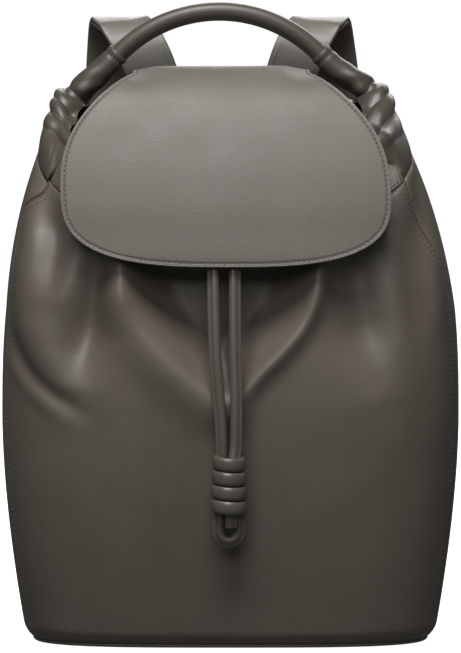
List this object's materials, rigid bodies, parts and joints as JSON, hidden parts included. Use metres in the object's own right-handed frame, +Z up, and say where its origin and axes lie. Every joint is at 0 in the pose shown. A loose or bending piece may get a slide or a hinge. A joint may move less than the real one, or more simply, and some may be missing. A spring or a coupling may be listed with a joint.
{
  "type": "leather backpack",
  "caption": "Soft leather drawstring backpack with a rounded flap, a rolled top handle, a coiled slide knot on rolled cords and buckled shoulder straps.",
  "frame": {"origin": "middle of the flat base, on the surface that the bag stands on", "axes": "+Z up, -Y towards the flap and drawstring at the front, +X to the right of a viewer in front"},
  "size_m": [0.3176, 0.2267, 0.4408],
  "materials": {
    "body_leather": "smooth satin calf leather, dark warm grey",
    "flap_leather": "smooth satin calf leather, a little paler",
    "cord_leather": "rolled and edge-stitched leather, satin",
    "lining_cloth": "herringbone cotton twill",
    "zip_cloth": "woven zip tape",
    "board": "fibre stiffener board",
    "foam": "closed-cell foam sheet",
    "cotton_core": "twisted cotton core",
    "brass_trim": "brushed pale antique brass"
  },
  "bodies": {
    "bag": {"front_panel": "body_leather", "back_panel": "body_leather", "left_gusset": "body_leather", "right_gusset": "body_leather", "base_panel": "body_leather", "base_board": "board", "back_padding": "foam", "lining": "lining_cloth", "front_band": "body_leather", "band_facing": "body_leather", "channel_cords": "body_leather", "channel_eyelets": "brass_trim", "left_yoke": "body_leather", "right_yoke": "body_leather", "flap_anchor": "flap_leather", "strap_patch": "body_leather", "panel_snaps": "brass_trim", "pocket_panel": "lining_cloth", "zip_tape": "zip_cloth", "zip_teeth": "brass_trim", "left_cord": "cord_leather", "right_cord": "cord_leather", "left_strap_root": "body_leather", "right_strap_root": "body_leather", "left_lower_strap": "flap_leather", "right_lower_strap": "flap_leather", "left_strap_tab": "body_leather", "right_strap_tab": "body_leather"},
    "flap": {"flap_outer": "flap_leather", "flap_lining": "lining_cloth", "flap_snaps": "brass_trim"},
    "handle": {"handle_cover": "body_leather", "handle_core": "cotton_core", "left_sleeve": "body_leather", "right_sleeve": "body_leather"},
    "knot": {"coiled_knot": "cord_leather"},
    "left_shoulder_strap": {"left_strap": "flap_leather", "left_strap_lining": "body_leather", "left_buckle": "brass_trim"},
    "right_shoulder_strap": {"right_strap": "flap_leather", "right_strap_lining": "body_leather", "right_buckle": "brass_trim"},
    "left_buckle_prong": {"left_prong": "brass_trim"},
    "right_buckle_prong": {"right_prong": "brass_trim"},
    "slider": {"zip_slider": "brass_trim"},
    "pull": {"zip_pull": "brass_trim"}
  },
  "joints": [
    {"name": "flap_hinge", "type": "hinge", "parent": "bag", "child": "flap", "pos_m": [0, 0.014, 0.393], "axis": [-1, 0, 0], "range_deg": [0, 85]},
    {"name": "handle_fold", "type": "hinge", "parent": "bag", "child": "handle", "pos_m": [0, 0.03, 0.378], "axis": [-1, 0, 0], "range_deg": [-40, 12], "stiffness_Nm_per_rad": 0.6},
    {"name": "knot_slide", "type": "slide", "parent": "bag", "child": "knot", "axis": [0, 0, 1], "range_m": [0, 0.02]},
    {"name": "left_strap_swing", "type": "hinge", "parent": "bag", "child": "left_shoulder_strap", "pos_m": [0, 0.077, 0.4272], "axis": [1, 0, 0], "range_deg": [0, 15]},
    {"name": "right_strap_swing", "type": "hinge", "parent": "bag", "child": "right_shoulder_strap", "pos_m": [0, 0.077, 0.4272], "axis": [1, 0, 0], "range_deg": [0, 15]},
    {"name": "left_prong_hinge", "type": "hinge", "parent": "left_shoulder_strap", "child": "left_buckle_prong", "pos_m": [-0.095, 0.1086, 0.19], "axis": [1, 0, 0], "range_deg": [0, 100]},
    {"name": "right_prong_hinge", "type": "hinge", "parent": "right_shoulder_strap", "child": "right_buckle_prong", "pos_m": [0.095, 0.1086, 0.19], "axis": [1, 0, 0], "range_deg": [0, 100]},
    {"name": "zip_travel", "type": "slide", "parent": "bag", "child": "slider", "axis": [1, 0, 0], "range_m": [0, 0.112]},
    {"name": "zip_pull_swivel", "type": "hinge", "parent": "slider", "child": "pull", "pos_m": [-0.056, 0.0484, 0.292], "axis": [0, 1, 0], "range_deg": [-85, 85]}
  ]
}
